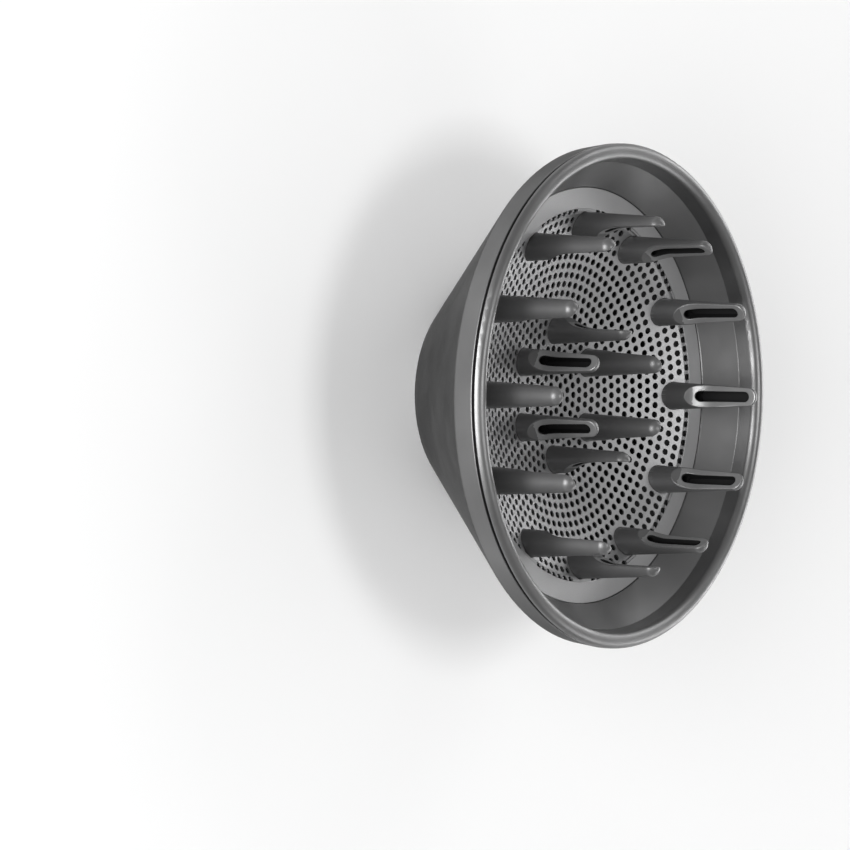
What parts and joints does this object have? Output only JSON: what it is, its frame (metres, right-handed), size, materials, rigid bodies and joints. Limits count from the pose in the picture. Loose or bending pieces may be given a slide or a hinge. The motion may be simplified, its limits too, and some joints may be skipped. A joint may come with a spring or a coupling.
{
  "type": "dryer diffuser",
  "caption": "Conical diffuser bowl with hollow slotted fingers standing on a perforated metal dish, held on a dryer by a magnetic neck.",
  "frame": {"origin": "centre of the neck's rear face, where the diffuser meets the dryer and on which it stands", "axes": "+Z along the diffuser's axis, from the neck to the fingers; +X and +Y across it, with an outer finger on each"},
  "size_m": [0.152, 0.152, 0.0686],
  "materials": {
    "shell_plastic": "satin moulded, graphite grey",
    "bezel_plastic": "satin moulded, graphite grey, bright rolled lip",
    "screen_metal": "fine satin, punched",
    "ring_metal": "satin",
    "finger_plastic": "semi-gloss moulded, graphite grey",
    "carrier_plastic": "matt moulded, black",
    "duct_plastic": "matt moulded, heat resistant",
    "collar_plastic": "matt moulded, heat resistant",
    "magnet_nickel": "nickel plated",
    "keeper_steel": "plain",
    "pad_silicone": "matt",
    "gasket_rubber": "matt",
    "screw_steel": "zinc plated"
  },
  "bodies": {
    "root": {"rear_shell": "shell_plastic", "front_bezel": "bezel_plastic", "seam_gasket": "gasket_rubber", "perforated_screen": "screen_metal", "screen_clamp_ring": "ring_metal", "finger_carrier": "carrier_plastic", "carrier_screws": "screw_steel", "coupling_collar": "collar_plastic", "coupling_magnets": "magnet_nickel", "keeper_ring": "keeper_steel", "neck_pad": "pad_silicone", "inner_duct": "duct_plastic", "duct_screws": "screw_steel", "outer_finger_01": "finger_plastic", "outer_finger_02": "finger_plastic", "outer_finger_03": "finger_plastic", "outer_finger_04": "finger_plastic", "outer_finger_05": "finger_plastic", "outer_finger_06": "finger_plastic", "outer_finger_07": "finger_plastic", "outer_finger_08": "finger_plastic", "outer_finger_09": "finger_plastic", "outer_finger_10": "finger_plastic", "outer_finger_11": "finger_plastic", "outer_finger_12": "finger_plastic", "inner_finger_01": "finger_plastic", "inner_finger_02": "finger_plastic", "inner_finger_03": "finger_plastic", "inner_finger_04": "finger_plastic", "inner_finger_05": "finger_plastic", "inner_finger_06": "finger_plastic"}
  },
  "joints": []
}
